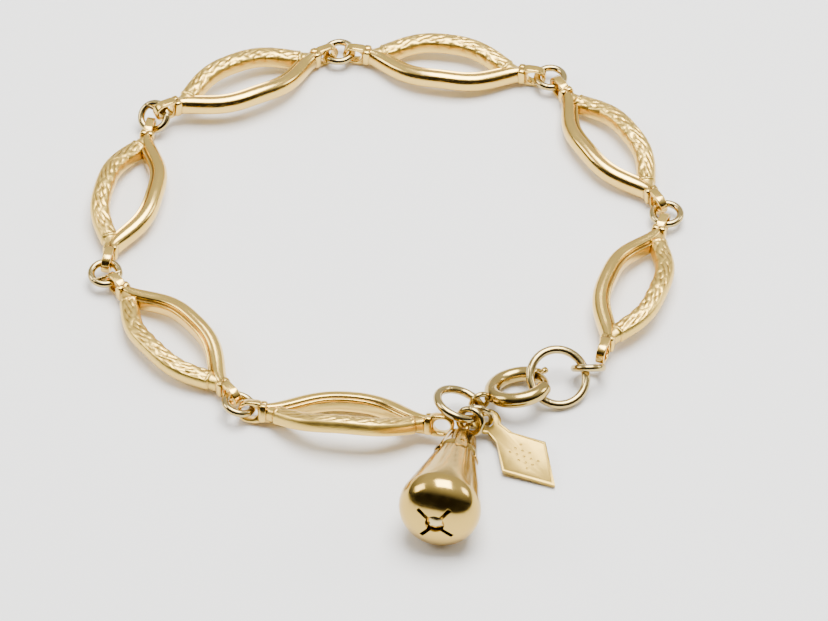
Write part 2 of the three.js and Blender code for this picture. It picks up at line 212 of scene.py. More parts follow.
def prism(name, outline, low, high, finish):
    """A plate or a plug: the outline (x, y) at the heights z = low and z = high."""
    rings = np.array([[(x, y, z) for x, y in outline] for z in (low, high)])
    return raw_object(name, loft(rings), [finish])


unit_square = [(0, 0), (1, 0), (1, 1), (0, 1)]
unit_cube = loft([[(x, y, z) for x, y in unit_square] for z in (0, 1)])
print("two unit squares, one above the other, hold", round(signed_volume(*unit_cube), 3))

# %% [markdown]
# ## Joining and cutting
# On the bench, solder joins the parts of a link, and a saw opens the bell. A Boolean modifier does both
# here, with the Manifold solver, which is quick and keeps a closed skin closed. Modelling the joints by
# hand would give cleaner faces and take far longer. Where a cut grazes an edge it leaves slivers too thin
# to shade, so points nearer than half a thousandth of a millimetre are merged. A bevel rounds the sharp
# edges of sheet metal a little, because handling rounds the real ones.

# %% Joining, cutting and softening
SLIVER = 0.0005


def close_slivers(mesh):
    """Merges points nearer than a sliver's width, which a cut leaves where it grazes an edge."""
    work = bmesh.new()
    work.from_mesh(mesh)
    bmesh.ops.remove_doubles(work, verts=work.verts, dist=SLIVER)
    bmesh.ops.dissolve_degenerate(work, dist=SLIVER, edges=work.edges)
    work.to_mesh(mesh)
    work.free()


def settle_modifiers(obj):
    """Gives the object the mesh that its modifiers make, without slivers."""
    depsgraph = bpy.context.evaluated_depsgraph_get()
    result = bpy.data.meshes.new_from_object(obj.evaluated_get(depsgraph))
    obj.modifiers.clear()
    old = obj.data
    obj.data = result
    bpy.data.meshes.remove(old)
    close_slivers(result)


def combine(base, others, operation):
    """Fuses the other bodies with the base or cuts them out of it, and returns the base."""
    for other in others:
        step = base.modifiers.new(operation, "BOOLEAN")
        step.operation = operation
        step.object = other
        step.solver = "MANIFOLD"
    settle_modifiers(base)
    for other in others:
        spare = other.data
        bpy.data.objects.remove(other)
        bpy.data.meshes.remove(spare)
    return base


def soften(obj, width, segments, angle):
    """Bevels the edges sharper than the angle by a width in local millimetres."""
    step = obj.modifiers.new("soft edges", "BEVEL")
    step.width = width
    step.segments = segments
    step.limit_method = "ANGLE"
    step.angle_limit = math.radians(angle)
    settle_modifiers(obj)
    return obj


print("points nearer than", SLIVER, "mm are merged")

# %% [markdown]
# ## Creases
# Shade gathers in every crease, so the finishes paint it in: painted shade darkens the creases, while
# raised places keep their bright colour. A vertex colour could be painted by hand, but each mesh knows its
# own creases: where the edges that leave a point rise above its tangent plane, the point lies in a hollow.
# That measure is kept in the mesh as an attribute, which every finish can read, and it follows the relief
# wherever a size is changed.

# %% Measure the creases
CREASE_GAIN = 4
SPREAD_GAIN = 3


def mark_hollows(mesh, steps):
    """Writes the point attribute "hollow": 0 on smooth and raised places, up to 1 deep in a crease.

    h is the mean of d . n over the directions d of a point's edges, with n the point's normal. Then h is
    averaged with the neighbours, once per step.
    """
    count = len(mesh.vertices)
    points = np.empty(count * 3)
    mesh.vertices.foreach_get("co", points)
    points = points.reshape(-1, 3)
    normals = np.empty(count * 3)
    mesh.vertex_normals.foreach_get("vector", normals)
    normals = normals.reshape(-1, 3)
    ends = np.empty(len(mesh.edges) * 2, np.int32)
    mesh.edges.foreach_get("vertices", ends)
    start, end = ends.reshape(-1, 2).T
    way = points[end] - points[start]
    way /= np.maximum(np.linalg.norm(way, axis=1), 1e-9)[:, None]
    here = np.concatenate([start, end])
    there = np.concatenate([end, start])
    rise = np.concatenate([np.sum(way * normals[start], 1), -np.sum(way * normals[end], 1)])
    edges_here = np.maximum(np.bincount(here, minlength=count), 1)
    hollow = np.clip(CREASE_GAIN * np.bincount(here, rise, count) / edges_here, 0, 1)
    for _ in range(steps):
        hollow = (hollow + np.bincount(here, hollow[there], count) / edges_here) / 2
    # The finishes paint shade by this attribute: the deeper the crease, the darker.
    layer = mesh.attributes.new("hollow", "FLOAT", "POINT")
    layer.data.foreach_set("value", np.clip(SPREAD_GAIN * hollow, 0, 1))


def put(obj, place, turn, angle=38, hollow_steps=4):
    """Marks the creases, moves the mesh into the frame and shades it smooth below the angle."""
    mesh = obj.data
    if hollow_steps:
        mark_hollows(mesh, hollow_steps)
    flat = np.empty(len(mesh.vertices) * 3)
    mesh.vertices.foreach_get("co", flat)
    moved = placed(flat.reshape(-1, 3), place, turn)
    mesh.vertices.foreach_set("co", moved.ravel())
    mesh.shade_smooth()
    mesh.set_sharp_from_angle(angle=math.radians(angle))
    mesh.update()


def dress(obj, node, body="bracelet"):
    """Makes the piece stand for its node and ride on its body."""
    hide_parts(node)
    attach(obj, body)


print("creases are measured on", len(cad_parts) - 1, "pieces, and the flat tag stays even")

# %% [markdown]
# ## Gold
# Every piece is gold over brass, and the finishes differ in colour, polish and grain. A plain metal shader
# looks like plastic film, because nothing on it changes from place to place. A painted picture would have
# to be laid out for each piece, so the wear is worked out from noise instead: a browner drift in the
# colour, scuffs in the roughness and a satin grain in the normal. Painted shade darkens the creases too,
# by how hollow the mesh is there. One node group does all this for every finish. It is built once, and
# each finish places it with its own values in front of its own metal shader.

# %% Parts of the wear and the painted crease shade
BROWN_DRIFT = (0.62, 0.42, 0.24, 1)
# Painted shade: the colour that creases are darkened towards, standing in for the shadow in them.
PAINTED_CREASE_SHADE = (0.36, 0.27, 0.16, 1)
DRIFT_SCALE = 260
SCUFF_SCALE = 900
SCUFF_GAIN = 0.12
GRAIN_HEIGHT = 0.00004


def add_noise(group, place, detail):
    """A noise over the Object coordinates, which wavers round 0.5."""
    noise = group.nodes.new("ShaderNodeTexNoise")
    noise.inputs["Detail"].default_value = detail
    group.links.new(place.outputs["Object"], noise.inputs["Vector"])
    return noise


def add_range(group, noise, low, high, top):
    """Stretches the noise: 0 at low, top at high."""
    spread = group.nodes.new("ShaderNodeMapRange")
    spread.inputs["From Min"].default_value = low
    spread.inputs["From Max"].default_value = high
    spread.inputs["To Max"].default_value = top
    group.links.new(noise.outputs["Fac"], spread.inputs["Value"])
    return spread.outputs["Result"]


def add_math(group, operation, first, second):
    """One sum or product of two sockets."""
    step = group.nodes.new("ShaderNodeMath")
    step.operation = operation
    group.links.new(first, step.inputs[0])
    group.links.new(second, step.inputs[1])
    return step.outputs[0]


def add_stain_and_shade(group, amount, colour, darker_colour):
    """Colour times stain, by the amount: c (1 - a) + c s a."""
    # This lays on both the brown drift and the painted crease shade.
    mix = group.nodes.new("ShaderNodeMix")
    mix.data_type = "RGBA"
    mix.blend_type = "MULTIPLY"
    group.links.new(amount, mix.inputs["Factor"])
    group.links.new(colour, mix.inputs["A"])
    mix.inputs["B"].default_value = darker_colour
    return mix.outputs["Result"]


print("drift is about", round(1 / DRIFT_SCALE / MM, 1), "mm wide, scuffs", round(1 / SCUFF_SCALE / MM, 1))

# %% Gold shader group


def gold_group():
    """Worn gold, from Object coordinates.

    The colour is multiplied towards brown where a slow noise is high, and darkened again by how hollow the
    place is, as painted shade in the creases. The roughness gains up to 0.12 where a finer noise is high.
    The normal is tipped by a noise of the given grain size.
    """
    group = bpy.data.node_groups.new("worn gold and painted crease shade", "ShaderNodeTree")
    face = group.interface
    colour = face.new_socket("Colour", in_out="INPUT", socket_type="NodeSocketColor")
    colour.default_value = (0.9, 0.66, 0.34, 1)
    for label, value in (
        ("Roughness", 0.14),
        ("Grain size", 2500),
        ("Grain depth", 0.05),
        ("Drift", 0.08),
        ("Hollow", 0),
    ):
        face.new_socket(label, in_out="INPUT", socket_type="NodeSocketFloat").default_value = value
    face.new_socket("Worn colour and painted shade", in_out="OUTPUT", socket_type="NodeSocketColor")
    face.new_socket("Worn roughness", in_out="OUTPUT", socket_type="NodeSocketFloat")
    face.new_socket("Worn normal", in_out="OUTPUT", socket_type="NodeSocketVector")
    given = group.nodes.new("NodeGroupInput").outputs
    worn = group.nodes.new("NodeGroupOutput").inputs
    place = group.nodes.new("ShaderNodeTexCoord")

    drift = add_noise(group, place, 3)
    drift.inputs["Scale"].default_value = DRIFT_SCALE
    amount = add_math(group, "MULTIPLY", add_range(group, drift, 0.35, 0.75, 1), given["Drift"])
    drifted = add_stain_and_shade(group, amount, given["Colour"], BROWN_DRIFT)
    # Painted shade: the colour is darkened by the hollow attribute, standing in for the shadow in creases.
    group.links.new(add_stain_and_shade(group, given["Hollow"], drifted, PAINTED_CREASE_SHADE), worn["Worn colour and painted shade"])

    scuffs = add_noise(group, place, 5)
    scuffs.inputs["Scale"].default_value = SCUFF_SCALE
    scuffs.inputs["Roughness"].default_value = 0.7
    rougher = add_range(group, scuffs, 0.45, 0.8, SCUFF_GAIN)
    group.links.new(add_math(group, "ADD", given["Roughness"], rougher), worn["Worn roughness"])

    grain = add_noise(group, place, 2)
    group.links.new(given["Grain size"], grain.inputs["Scale"])
    bump = group.nodes.new("ShaderNodeBump")
    bump.inputs["Distance"].default_value = GRAIN_HEIGHT
    group.links.new(grain.outputs["Fac"], bump.inputs["Height"])
    group.links.new(given["Grain depth"], bump.inputs["Strength"])
    group.links.new(bump.outputs["Normal"], worn["Worn normal"])
    return group


WORN_GOLD_AND_SHADE = gold_group()
print("the worn gold and painted crease shade group has", len(WORN_GOLD_AND_SHADE.nodes), "nodes")

# %% [markdown]
# The polished bars are the warmest and brightest, as plated castings are. The chased bars have a rougher,
# satin surface between the cuts. Rings and clasp are paler, the bell is a touch darker, and the tag is
# satin sheet.

# %% Finishes


def gold(name, colour, roughness, grain_size=2500, grain_depth=0.05, drift=0.08):
    """A finish of this bracelet: the worn gold group in front of a metal shader."""
    material = bpy.data.materials.new(name)
    material.use_nodes = True
    tree = material.node_tree
    tree.nodes.clear()
    worn = tree.nodes.new("ShaderNodeGroup")
    worn.node_tree = WORN_GOLD_AND_SHADE
    worn.inputs["Colour"].default_value = (*colour, 1)
    worn.inputs["Roughness"].default_value = roughness
    worn.inputs["Grain size"].default_value = grain_size
    worn.inputs["Grain depth"].default_value = grain_depth
    worn.inputs["Drift"].default_value = drift
    # The hollow attribute drives the painted shade in the creases.
    hollow = tree.nodes.new("ShaderNodeAttribute")
    hollow.attribute_name = "hollow"
    tree.links.new(hollow.outputs["Fac"], worn.inputs["Hollow"])
    metal = tree.nodes.new("ShaderNodeBsdfPrincipled")
    metal.inputs["Metallic"].default_value = 1
    tree.links.new(worn.outputs["Worn colour and painted shade"], metal.inputs["Base Color"])
    tree.links.new(worn.outputs["Worn roughness"], metal.inputs["Roughness"])
    tree.links.new(worn.outputs["Worn normal"], metal.inputs["Normal"])
    output = tree.nodes.new("ShaderNodeOutputMaterial")
    tree.links.new(metal.outputs["BSDF"], output.inputs["Surface"])
    return material


POLISHED = gold("polished link gold", (0.84, 0.57, 0.145), 0.18)
CHASED = gold("chased link gold", (0.82, 0.565, 0.135), 0.32, 4200, 0.35, 0.15)
PALE = gold("pale ring gold", (0.53, 0.4, 0.16), 0.15)
CLASP = gold("clasp gold", (0.56, 0.4, 0.125), 0.15)
BELL = gold("bell gold", (0.64, 0.43, 0.105), 0.14)
TAG_GOLD = gold("tag gold", (0.45, 0.302, 0.066), 0.3, 3200, 0.12)
PEA = gold("pea brass", (0.72, 0.56, 0.25), 0.2)
print("finishes", [m.name for m in bpy.data.materials])

# %% [markdown]
# ## Rings
# A jump ring is a turn of round wire whose ends are soldered, so a faint seam crosses the wire somewhere.
# Blender's own torus has no seam, and a cut with a thin disc would leave two sharp walls. Here the wire
# gets a little thinner near the seam, and four extra rings of points close to it hold the groove. Each
# ring has its seam at a turn of its own.

# %% Wire rings
JUMP_RING_SIZE = (3.95, 0.82)
CLOSING_RING_SIZE = (7.2, 0.95)
BIG_RING_SIZE = (6.05, 0.95)
BAIL_RING_SIZE = (3.54, 0.74)
TAG_RING_SIZE = (3.82, 0.62)
SEAM_DEPTH = 0.03
SEAM_WIDTH = 0.03


def wire_rings(outer, wire, steps=112, sides=24, seam_at=0.0):
    """Torus of middle radius R = (outer - wire) / 2 with a seam.

    The wire's half thickness is wire / 2 - depth exp(-(s / width)^2), with s the way along the wire from
    the seam.
    """
    radius = (outer - wire) / 2
    turn = np.linspace(0, 2 * np.pi, steps, endpoint=False)
    turn = np.sort(np.concatenate([turn, seam_at + np.array([-0.05, -0.02, 0.02, 0.05]) / radius]))
    away = np.abs((turn - seam_at + np.pi) % (2 * np.pi) - np.pi) * radius
    half = wire / 2 - SEAM_DEPTH * np.exp(-((away / SEAM_WIDTH) ** 2))
    round_wire = np.linspace(0, 2 * np.pi, sides, endpoint=False)
    reach = radius + half[:, None] * np.cos(round_wire)
    height = half[:, None] * np.sin(round_wire)
    return np.stack([reach * np.cos(turn)[:, None], reach * np.sin(turn)[:, None], height], -1)


def add_ring(node, place, size, seam_at):
    """A pale ring of the size (outer, wire), its axis turned onto the place's axis."""
    rings = wire_rings(*size, seam_at=seam_at)
    obj = raw_object(f"{node}_wire", loft(rings, joined=True), [PALE])
    put(obj, place[0], turn_onto(place[1]))
    dress(obj, node)


for index, place in enumerate(JUMP_RING_PLACES):
    add_ring(f"jump_ring_{index + 1}", place, JUMP_RING_SIZE, 0.7 + 1.9 * index)
add_ring("closing_ring", CLOSING_RING_PLACE, CLOSING_RING_SIZE, 4.4)
add_ring("big_ring", BIG_RING_PLACE, BIG_RING_SIZE, 2.1)
add_ring("bail_ring", BAIL_RING_PLACE, BAIL_RING_SIZE, 1.2)
add_ring("tag_ring", TAG_RING_PLACE, TAG_RING_SIZE, 3.3)
print("rings", len(JUMP_RING_PLACES) + 4)

# %% [markdown]
# ## Leaf links
# Each link is an open leaf of two bars that spread apart and meet at both ends. The inner bar is polished,
# with a fine bead and groove along its inner top edge, and the outer one is chased like bark. A curve
# object could bend a bar, but a formula says it shorter: both follow y = S (1 + cos(pi |t|^1.55)) / 2 with
# t from -1 to 1 along the link, and arch up by 0.7 mm towards mid length.

# %% Sections of the bars
LINK_LENGTH = 18.3
LINK_WIDTH = 7.9
LEAF_POWER = 1.55
ARCH = 0.7
POLISHED_BAR = (2.0, 1.95, 1.4)
CHASED_BAR = (2.15, 1.75, 1.2)
POLISHED_SECTION = [
    (-0.42, -0.5), (0.3, -0.5), (0.5, -0.28), (0.5, 0.12), (0.34, 0.4),
    (0.06, 0.5), (-0.2, 0.42), (-0.3, 0.27), (-0.44, 0.29), (-0.5, 0.08),
]
CHASED_SECTION = [
    (-0.44, -0.5), (0.34, -0.5), (0.5, -0.28), (0.5, 0.1),
    (0.36, 0.38), (0, 0.5), (-0.36, 0.4), (-0.5, 0.1),
]
TIGHTNESS = 0.42


def smooth_loop(corners, per_span):
    """Closed Catmull-Rom curve through the corners: cubics whose slopes follow the neighbours."""
    corners = np.array(corners, float)
    u = np.linspace(0, 1, per_span, endpoint=False)[:, None]
    parts = []
    for i in range(len(corners)):
        before, start, end, after = (corners[(i + k) % len(corners)] for k in (-1, 0, 1, 2))
        lift = TIGHTNESS * (end - before)
        drop = TIGHTNESS * (after - start)
        cubic = (2 * u**3 - 3 * u**2 + 1) * start + (u**3 - 2 * u**2 + u) * lift
        parts.append(cubic + (3 * u**2 - 2 * u**3) * end + (u**3 - u**2) * drop)
    return np.concatenate(parts)


print("section points", len(smooth_loop(POLISHED_SECTION, 6)), len(smooth_loop(CHASED_SECTION, 14)))

# %% [markdown]
# ## Chasing
# On the real bar, short chisel strokes run mostly along it, cross each other like bark and stop at a raised
# cross-line near each end. A bump in the material would be quicker, but it vanishes at the bar's outline
# and leaves the mesh itself smooth, so the strokes are real relief that catches the light from every side.
# Each set of strokes is a pattern of slanting V-shaped lines, and each line is broken at places of its own.

# %% Chisel strokes
CHISEL_STROKES = [
    {"angle": 20, "spacing": 0.56, "depth": 0.11, "stroke": 2.8, "seed": 3},
    {"angle": -29, "spacing": 0.8, "depth": 0.075, "stroke": 1.9, "seed": 31},
    {"angle": 66, "spacing": 1.3, "depth": 0.035, "stroke": 1.1, "seed": 77},
]
CROSS_LINE = 0.80
CROSS_LINE_HEIGHT = 0.09
CROSS_LINE_WIDTH = 0.012


def fraction(value):
    """The part after the point: v - floor(v)."""
    return value - np.floor(value)


def hashed(number):
    """A repeatable value from 0 to 1 for a whole number: the fraction of 43758.5453 sin(12.9898 n + 4.1)."""
    return fraction(np.sin(number * 12.9898 + 4.1) * 43758.5453)


def ease(low, high, value):
    """Rises softly from 0 at low to 1 at high: s^2 (3 - 2 s), with s the share of the way."""
    share = np.clip((value - low) / (high - low), 0, 1)
    return share * share * (3 - 2 * share)


def chisel_cuts(along, across):
    """Depth in mm of short V-shaped strokes.

    Each set runs at its angle to the bar: over = (across cos a + along sin a) / spacing counts its lines,
    and a line is broken every stroke length, at a place of its own.
    """
    depth = 0
    for cut in CHISEL_STROKES:
        lean = math.radians(cut["angle"])
        over = (across * math.cos(lean) + along * math.sin(lean)) / cut["spacing"]
        way = (along * math.cos(lean) - across * math.sin(lean)) / cut["stroke"]
        groove = 1 - np.abs(2 * fraction(over) - 1)
        broken = fraction(way + hashed(np.floor(over) + cut["seed"])) - 0.5
        depth = depth + cut["depth"] * groove**1.5 * np.exp(-((broken / 0.37) ** 6))
    return depth


def chased_depth(t, section, width, height, middle):
    """Depth in mm of the chasing over the bar: the cuts on its upper side, less the raised cross-lines."""
    run = np.hypot(np.diff(t) * LINK_LENGTH / 2, np.diff(middle))
    along = np.cumsum(np.append(0, run))[:, None]
    across = (section[:, 0] * width - 0.6 * (section[:, 1] - 0.5) * height)[None, :]
    pattern = ease(CROSS_LINE + 0.02, CROSS_LINE - 0.03, np.abs(t))[:, None]
    upper = ease(-0.12, 0.2, section[:, 1])[None, :]
    inner = ease(0.42, 0.3, section[:, 0])[None, :]
    cut = chisel_cuts(along, across) * pattern * upper * inner
    beyond = (np.abs(t)[:, None] - CROSS_LINE) / CROSS_LINE_WIDTH
    return cut - CROSS_LINE_HEIGHT * np.exp(-(beyond**2)) * upper


print("where all strokes cross they cut", round(sum(cut["depth"] for cut in CHISEL_STROKES), 3), "mm deep")

# %% [markdown]
# A bar is its section carried along the middle line. The section stands square to the line, so the slope is
# measured a little before and behind each place, and it narrows towards the ends of the link.

# %% Bars
NECK_SHRINK = 0.13
CUT_INWARDS = 0.9
CUT_DOWNWARDS = 1.6
SLOPE_STEP = 1e-3


def bar_rings(bar, section, side, spans, chased):
    """Rings of a bar's section along its middle line, in local millimetres.

    Point = line + out n + up z, with n the line's normal. The cuts draw a chased bar's section in.
    """
    width, height, end_width = bar
    section = smooth_loop(section, 14 if chased else 6)
    t = np.linspace(-1, 1, spans + 1)
    spread = LINK_WIDTH / 2 - width / 2

    def line(value):
        return spread * (1 + np.cos(np.pi * np.abs(value) ** LEAF_POWER)) / 2

    slope = (line(t + SLOPE_STEP) - line(t - SLOPE_STEP)) / (2 * SLOPE_STEP) / (LINK_LENGTH / 2)
    length = np.hypot(slope, 1)
    wide = end_width + (width - end_width) * np.cos(np.pi / 2 * t**4)
    rise = ARCH * np.cos(np.pi / 2 * t) ** 2
    out = section[:, 0][None, :] * wide[:, None]
    up = np.repeat(section[:, 1][None, :] * height, spans + 1, 0)
    if chased:
        depth = chased_depth(t, section, width, height, line(t))
        scale = 1 - NECK_SHRINK * ease(CROSS_LINE, CROSS_LINE + 0.035, np.abs(t))[:, None]
        out = out * scale * (1 - CUT_INWARDS * depth / width)
        up = up * scale - depth * np.maximum(section[:, 1], 0)[None, :] * CUT_DOWNWARDS
    x = (t * LINK_LENGTH / 2)[:, None] - (slope / length)[:, None] * out
    y = side * (line(t)[:, None] + (1 / length)[:, None] * out)
    z = rise[:, None] + up
    return np.stack([x, y, z], -1)


link_finishes = [POLISHED, CHASED]
polished_rings = bar_rings(POLISHED_BAR, POLISHED_SECTION, 1, 150, False)
chased_rings = bar_rings(CHASED_BAR, CHASED_SECTION, -1, 420, True)
link = raw_object("link", loft(polished_rings), link_finishes, 0)
parts = [raw_object("chased", loft(chased_rings), link_finishes, 1)]
print("bars of", len(polished_rings), "and", len(chased_rings), "sections")

# %% [markdown]
# ## Knobs and eyes
# Both bars end in a pair of blunt knobs, and an eye plate with a slotted hole stands beyond them on edge.
# A cube with a wide bevel comes near a knob, but a superellipsoid is blunt all round with no flat face
# left. The eye is a frame carried round its slot, which needs no cut and has an even, rounded edge.

# %% Knobs and eyes
KNOB_AT = (9.12, 0.36)
KNOB_HALF = (0.48, 0.5, 1.08)
PLATE_RADIUS = 1.25
PLATE_START = 9.95
PLATE_TIP = 11.97
PLATE_HALF = 0.5
SLOT_RADIUS = 0.83
SLOT_NEAR = 10.53
SLOT_FAR = 10.72
EDGE_RADIUS = 0.14


def knob_rings(middle, half, power=0.55, steps=20, sides=28):
    """Superellipsoid: |x/a|^(2/p) + ... = 1, from its left pole to its right pole."""
    lean = np.linspace(-np.pi / 2, np.pi / 2, steps)
    lean[0] += 0.02
    lean[-1] -= 0.02
    turn = np.linspace(0, 2 * np.pi, sides, endpoint=False)

    def shaped(value):
        return np.sign(value) * np.abs(value) ** power

    x = np.repeat(shaped(np.sin(lean))[:, None], sides, 1) * half[0]
    y = shaped(np.cos(lean))[:, None] * shaped(np.cos(turn))[None, :] * half[1]
    z = shaped(np.cos(lean))[:, None] * shaped(np.sin(turn))[None, :] * half[2]
    return np.stack([x + middle[0], y + middle[1], z + middle[2]], -1)


def eye_rings(end, steps=72):
    """A frame round the slot: its section is a rounded rectangle from the slot's wall to the plate's edge."""
    turn = np.linspace(0, 2 * np.pi, steps, endpoint=False)
    right = np.cos(turn) >= 0
    outer_middle = np.where(right, PLATE_TIP - PLATE_RADIUS, PLATE_START)
    inner_middle = np.where(right, SLOT_FAR, SLOT_NEAR)
    outer = np.stack([outer_middle + PLATE_RADIUS * np.cos(turn), PLATE_RADIUS * np.sin(turn)], -1)
    inner = np.stack([inner_middle + SLOT_RADIUS * np.cos(turn), SLOT_RADIUS * np.sin(turn)], -1)
    quarter = np.linspace(0, np.pi / 2, 5)
    rings = []
    for o, i in zip(outer, inner):
        depth = np.linalg.norm(o - i)
        r = min(EDGE_RADIUS, depth * 0.45)
        far = depth - r
        high = PLATE_HALF - r
        section = []
        for start, (u, y) in enumerate(((far, high), (r, high), (r, -high), (far, -high))):
            angle = quarter + start * np.pi / 2
            section += list(zip(u + r * np.cos(angle), y + r * np.sin(angle)))
        direction = (o - i) / depth
        rings.append([(end * (i[0] + direction[0] * u), y, i[1] + direction[1] * u) for u, y in section])
    return np.array(rings)


for end in (-1, 1):
    for side in (-1, 1):
        knob = knob_rings((end * KNOB_AT[0], side * KNOB_AT[1], 0.0), KNOB_HALF)
        parts.append(raw_object("knob", loft(knob), link_finishes, 0))
    parts.append(raw_object("eye", loft(eye_rings(end), joined=True), link_finishes, 0))
print("parts of a link", len(parts) + 1)

# %% [markdown]
# ## The seven links
# All links come from one mould, so one link is soldered together and copied. A linked copy would save
# memory, but each link's place is written into its mesh, so each needs a mesh of its own.

# %% One link, then its seven copies
LINK_SHADE_ANGLE = 50

link = combine(link, parts, "UNION")
print("one link", len(link.data.vertices), "points", len(link.data.polygons), "faces")

for index, (place, turns) in enumerate(LINK_PLACES):
    copy = bpy.data.objects.new(f"leaf_link_{index + 1}_gold", link.data.copy())
    bpy.context.scene.collection.objects.link(copy)
    put(copy, place, turn_link(*turns), LINK_SHADE_ANGLE)
    dress(copy, f"leaf_link_{index + 1}")
bpy.data.objects.remove(link)

# %% [markdown]
# ## Spring ring clasp
# The real clasp is a hollow tube bent to a ring, open over its mouth, with a slot on its outer side for
# the bolt's thumb knob and a round tail loop soldered on opposite. A ring with a gap cut into it would
# have no dark channel to look into, so the tube's ends are truly bored. The tube is an arc of round wire
# that draws in a little at its two lips, and thinner arcs are cut out of it as channel and socket.

# %% Clasp tube
CLASP_OUTER = 7.6
TUBE_THICKNESS = 1.7
CLASP_RADIUS = (CLASP_OUTER - TUBE_THICKNESS) / 2
MOUTH_START = -18
MOUTH_END = 42
LIP_SHRINK = 0.07
LIP_LENGTH = 0.8
CHANNEL_HALF = 0.53
THUMB_SLOT_HALF = 0.48


def arc_rings(radius, halves, angles, sides=28):
    """Round wire along an arc about Z: one half thickness per angle, angles in degrees."""
    turn = np.radians(angles)[:, None]
    halves = np.broadcast_to(halves, len(angles))[:, None]
    round_wire = np.linspace(0, 2 * np.pi, sides, endpoint=False)[None, :]
    reach = radius + halves * np.cos(round_wire)
    return np.stack([reach * np.cos(turn), reach * np.sin(turn), halves * np.sin(round_wire)], -1)


lip_angles = [MOUTH_END + 0.8, MOUTH_END + 1.8, MOUTH_START + 359.2, MOUTH_START + 358.2]
tube_angles = np.linspace(MOUTH_END, MOUTH_START + 360, 130)
tube_angles = np.sort(np.concatenate([tube_angles, lip_angles]))
from_end = np.minimum(tube_angles - MOUTH_END, MOUTH_START + 360 - tube_angles)
tube_halves = TUBE_THICKNESS / 2 - LIP_SHRINK * np.exp(-((from_end / LIP_LENGTH) ** 2))
clasp = raw_object("clasp_tube", loft(arc_rings(CLASP_RADIUS, tube_halves, tube_angles)), [CLASP])

channel_rings = arc_rings(CLASP_RADIUS, CHANNEL_HALF, np.linspace(MOUTH_END - 5, 150, 60))
socket_rings = arc_rings(CLASP_RADIUS, CHANNEL_HALF, np.linspace(-30, -13, 10))
slot_section = [
    (CLASP_RADIUS, -THUMB_SLOT_HALF),
    (CLASP_RADIUS + TUBE_THICKNESS, -THUMB_SLOT_HALF),
    (CLASP_RADIUS + TUBE_THICKNESS, THUMB_SLOT_HALF),
    (CLASP_RADIUS, THUMB_SLOT_HALF),
]
slot_angles = np.radians(np.linspace(MOUTH_END - 5, MOUTH_END + 55, 40))
slot_rings = [[(r * math.cos(a), r * math.sin(a), z) for r, z in slot_section] for a in slot_angles]
channel = raw_object("channel", loft(channel_rings), [CLASP])
socket = raw_object("socket", loft(socket_rings), [CLASP])
slot = raw_object("slot", loft(slot_rings), [CLASP])
clasp = combine(clasp, [channel, socket, slot], "DIFFERENCE")
print("clasp tube", len(clasp.data.vertices), "points")

# %% [markdown]
# The tail loop is a small ring of wire that stands nearly upright against the tube, with a drop of solder
# where they touch. The drop is what makes the joint look soldered and not merely pushed together.

# %% Tail loop
TAIL_LOOP_SIZE = (2.7, 0.62)
TAIL_LOOP_TILT = math.radians(70.2)
TAIL_AT = math.radians(206.4)
SOLDER_HALF = (0.42, 0.42, 0.36)

tail_points, loop_faces = loft(wire_rings(*TAIL_LOOP_SIZE, 80, 20), joined=True)
tilt = turn_about((1, 0, 0), TAIL_LOOP_TILT)
tail_turn = turn_about((0, 0, 1), TAIL_AT)
loop_away = CLASP_RADIUS + 0.85 + (TAIL_LOOP_SIZE[0] - TAIL_LOOP_SIZE[1]) / 2 - 0.05
tail_points = ((tail_points @ tilt.T) + np.array([loop_away, 0, 0])) @ tail_turn.T
tail = raw_object("tail loop", (tail_points, loop_faces), [CLASP])
solder_at = tail_turn @ np.array([CLASP_RADIUS + 0.83, 0, 0])
solder = raw_object("solder", loft(knob_rings(solder_at, SOLDER_HALF, 1.0)), [CLASP])
clasp = combine(clasp, [tail, solder], "UNION")
put(clasp, CLASP_PLACE[0], turn_onto(CLASP_PLACE[1]))
dress(clasp, "clasp_body")
print("clasp body", len(clasp.data.vertices), "points")

# %% [markdown]
# ## Clasp bolt
# The bolt is a sprung arc of wire that closes the mouth, with a round tip and a thumb knob that sticks out
# through the slot. It moves, so it is a piece of its own on its own body. Its wire is an arc about the
# clasp's axis, which is what lets it slide back into the channel without touching the walls.

# %% Clasp bolt
BOLT_HALF = 0.4
TIP_LENGTH = 0.3
THUMB_AT = math.radians(MOUTH_END + 5)
THUMB_REACH = 0.85 + 0.75
STEM_HALF = 0.3
HEAD_GAIN = 0.06

bolt_angles = np.linspace(MOUTH_START - 6, MOUTH_END + 34, 70)
from_tip = (bolt_angles - bolt_angles[0]) * math.pi / 180 * CLASP_RADIUS
to_full = 1 - np.minimum(from_tip / TIP_LENGTH, 1)
bolt_halves = BOLT_HALF * np.sqrt(np.clip(1 - to_full**2, 0.12, 1))
bolt = raw_object("clasp_bolt_wire", loft(arc_rings(CLASP_RADIUS, bolt_halves, bolt_angles, 20)), [CLASP])

stem = np.linspace(0, 1, 24)
stem_half = STEM_HALF + HEAD_GAIN * ease(0.55, 0.72, stem)
stem_half = stem_half * np.sqrt(np.clip(1 - np.clip((stem - 0.9) / 0.1, 0, 1) ** 2, 0.05, 1))
outwards = np.array([math.cos(THUMB_AT), math.sin(THUMB_AT), 0])
sideways = np.array([-outwards[1], outwards[0], 0])
upwards = np.array([0, 0, 1.0])
stem_turn = np.linspace(0, 2 * np.pi, 24, endpoint=False)[:, None]
stem_circle = np.cos(stem_turn) * sideways + np.sin(stem_turn) * upwards
stem_middles = outwards * (CLASP_RADIUS + stem * THUMB_REACH)[:, None]
stem_rings = stem_middles[:, None, :] + stem_half[:, None, None] * stem_circle
thumb = raw_object("thumb knob", loft(stem_rings), [CLASP])
bolt = combine(bolt, [thumb], "UNION")
put(bolt, CLASP_PLACE[0], turn_onto(CLASP_PLACE[1]))
dress(bolt, "clasp_bolt", "clasp_bolt")
